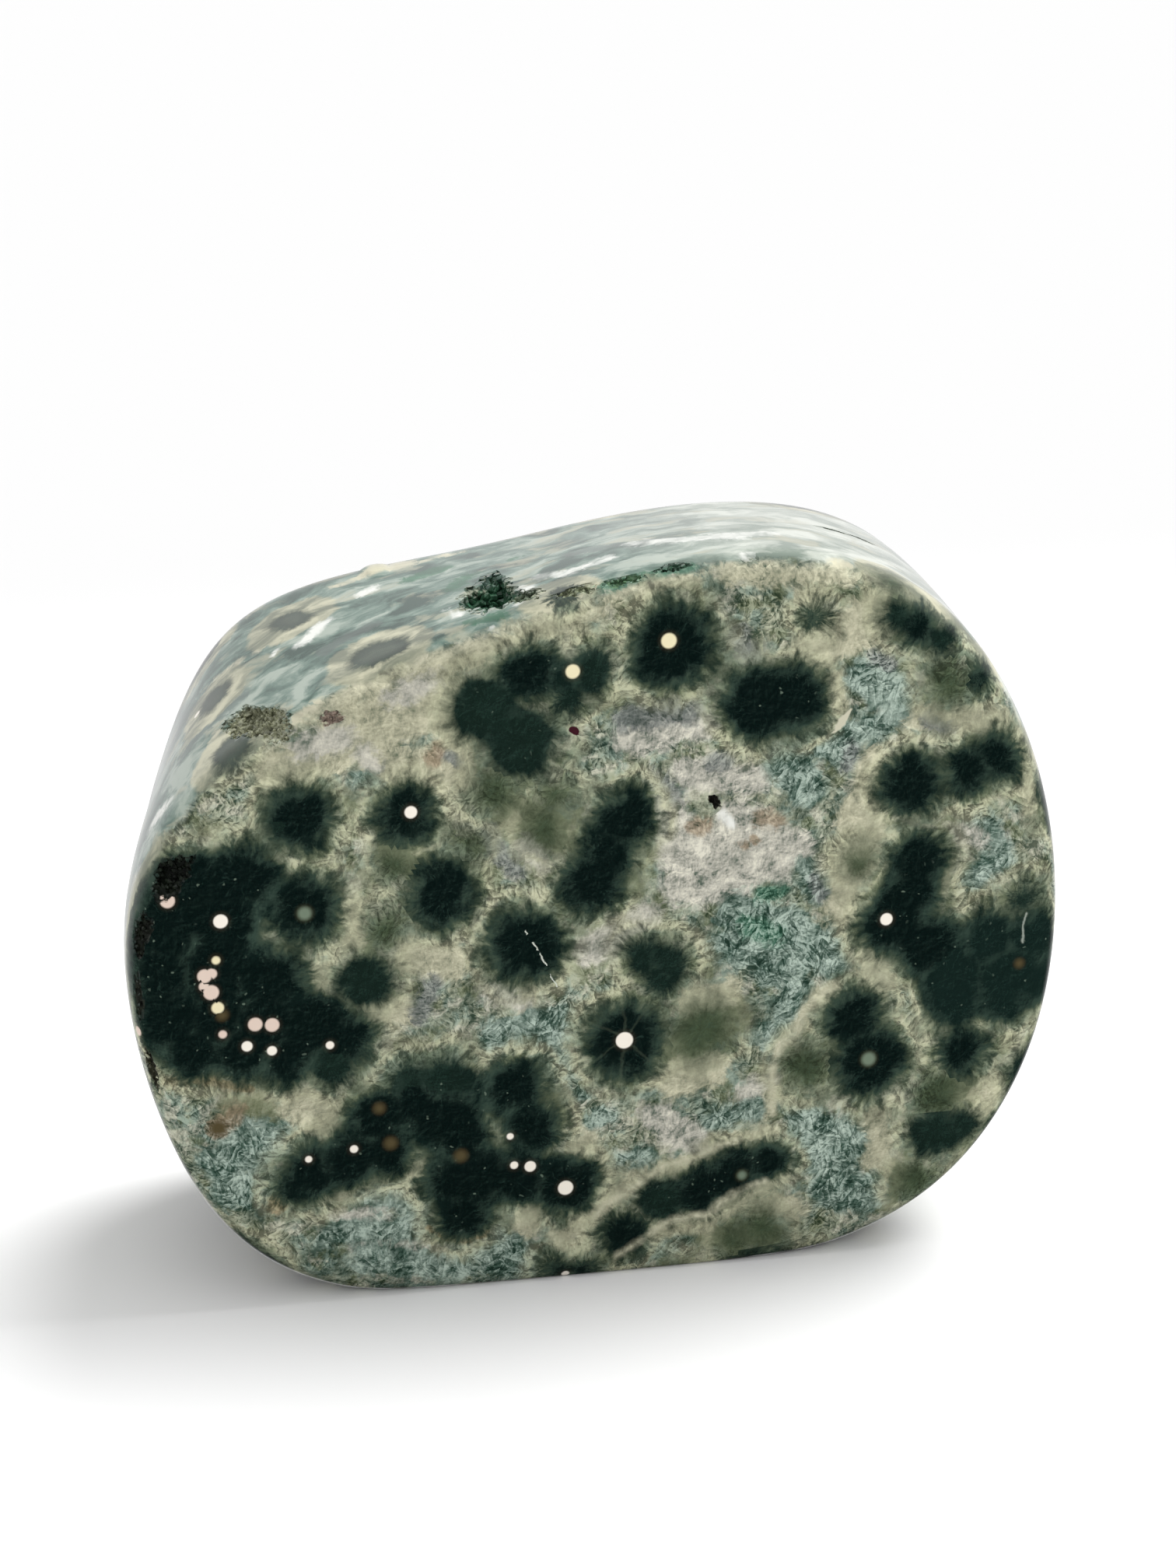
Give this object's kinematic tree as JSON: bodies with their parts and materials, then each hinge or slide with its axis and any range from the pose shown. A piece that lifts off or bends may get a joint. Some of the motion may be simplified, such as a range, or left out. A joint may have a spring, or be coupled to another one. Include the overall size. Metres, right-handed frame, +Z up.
{
  "type": "ocean jasper freeform",
  "caption": "Polished freeform slab of orbicular jasper with rounded edges, a flat foot to stand on, and a few open crystal-lined natural hollows.",
  "frame": {"origin": "middle of the bounding box on the surface that the stone stands on", "axes": "+X along the longest side, to the right of the front face; +Y through the slab from front to back; +Z up"},
  "size_m": [0.0985, 0.04, 0.0774],
  "materials": {
    "jasper": "polished, dark green orbs in cream, olive and teal chalcedony"
  },
  "bodies": {
    "root": {"stone": "jasper"}
  },
  "joints": []
}
